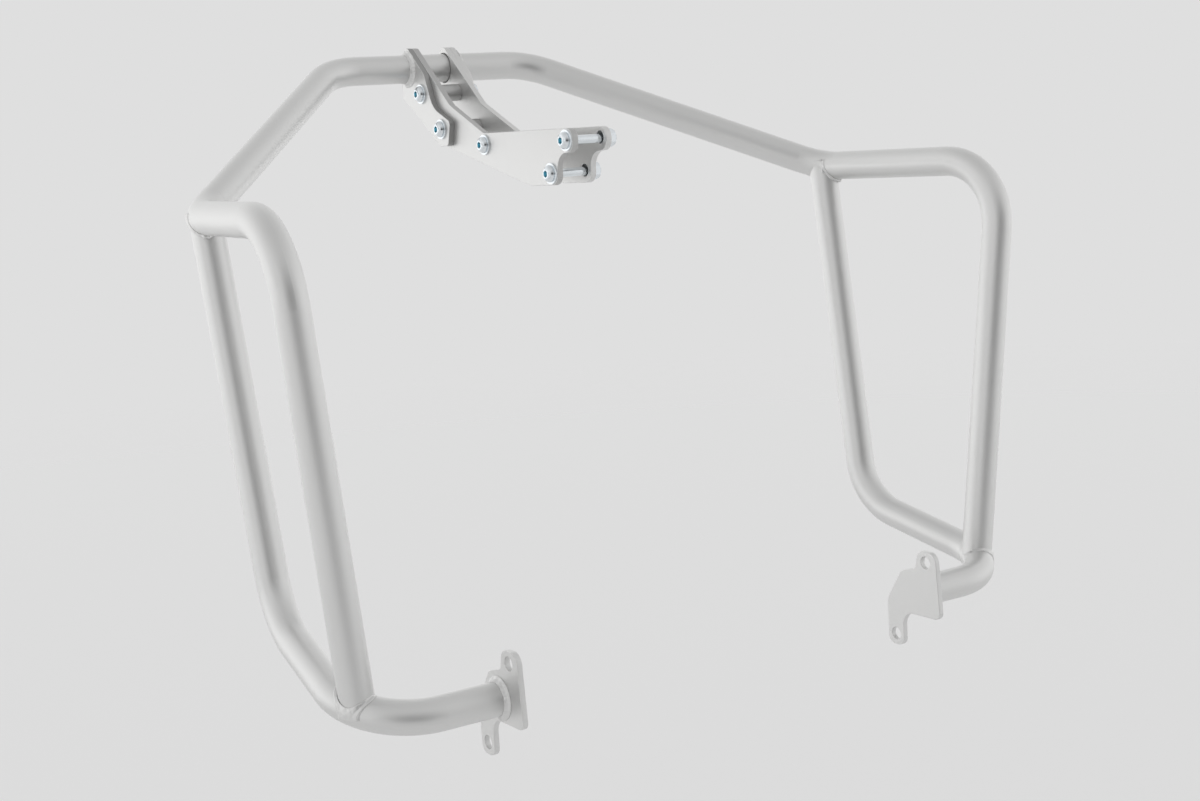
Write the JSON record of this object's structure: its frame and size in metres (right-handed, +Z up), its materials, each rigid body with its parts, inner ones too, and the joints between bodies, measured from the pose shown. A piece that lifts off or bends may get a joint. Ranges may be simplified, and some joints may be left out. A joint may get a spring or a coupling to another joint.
{
  "type": "motorcycle crash bars",
  "caption": "Bent round-tube engine guard for a motorcycle, with side loops, drilled flange plates and a bolted central bracket.",
  "frame": {"origin": "midway between the two rear bolts of the bracket, in the mid plane", "axes": "+X towards the rider's right, +Y forwards along the motorcycle, +Z up"},
  "size_m": [0.674, 0.4479, 0.5258],
  "materials": {
    "powder_coat": "satin silver-grey powder coat",
    "weld_coat": "rippled weld bead under satin silver-grey powder coat",
    "zinc": "bright zinc plating"
  },
  "bodies": {
    "root": {"main_hoop": "powder_coat", "left_lower_tube": "powder_coat", "right_lower_tube": "powder_coat", "left_flange_plate": "powder_coat", "right_flange_plate": "powder_coat", "left_weld_tab": "powder_coat", "right_weld_tab": "powder_coat", "left_cheek_plate": "powder_coat", "right_cheek_plate": "powder_coat", "front_spacer": "powder_coat", "second_spacer": "powder_coat", "middle_spacer": "powder_coat", "front_bolt": "zinc", "second_bolt": "zinc", "middle_bolt": "zinc", "upper_rear_bolt": "zinc", "lower_rear_bolt": "zinc", "front_washer": "zinc", "second_washer": "zinc", "middle_washer": "zinc", "upper_rear_washer": "zinc", "lower_rear_washer": "zinc", "front_nut": "zinc", "second_nut": "zinc", "middle_nut": "zinc", "upper_rear_nut": "zinc", "lower_rear_nut": "zinc", "left_foot_weld": "weld_coat", "right_foot_weld": "weld_coat", "left_shoulder_weld": "weld_coat", "right_shoulder_weld": "weld_coat", "left_flange_weld": "weld_coat", "right_flange_weld": "weld_coat", "left_tab_weld": "weld_coat", "right_tab_weld": "weld_coat"}
  },
  "joints": []
}
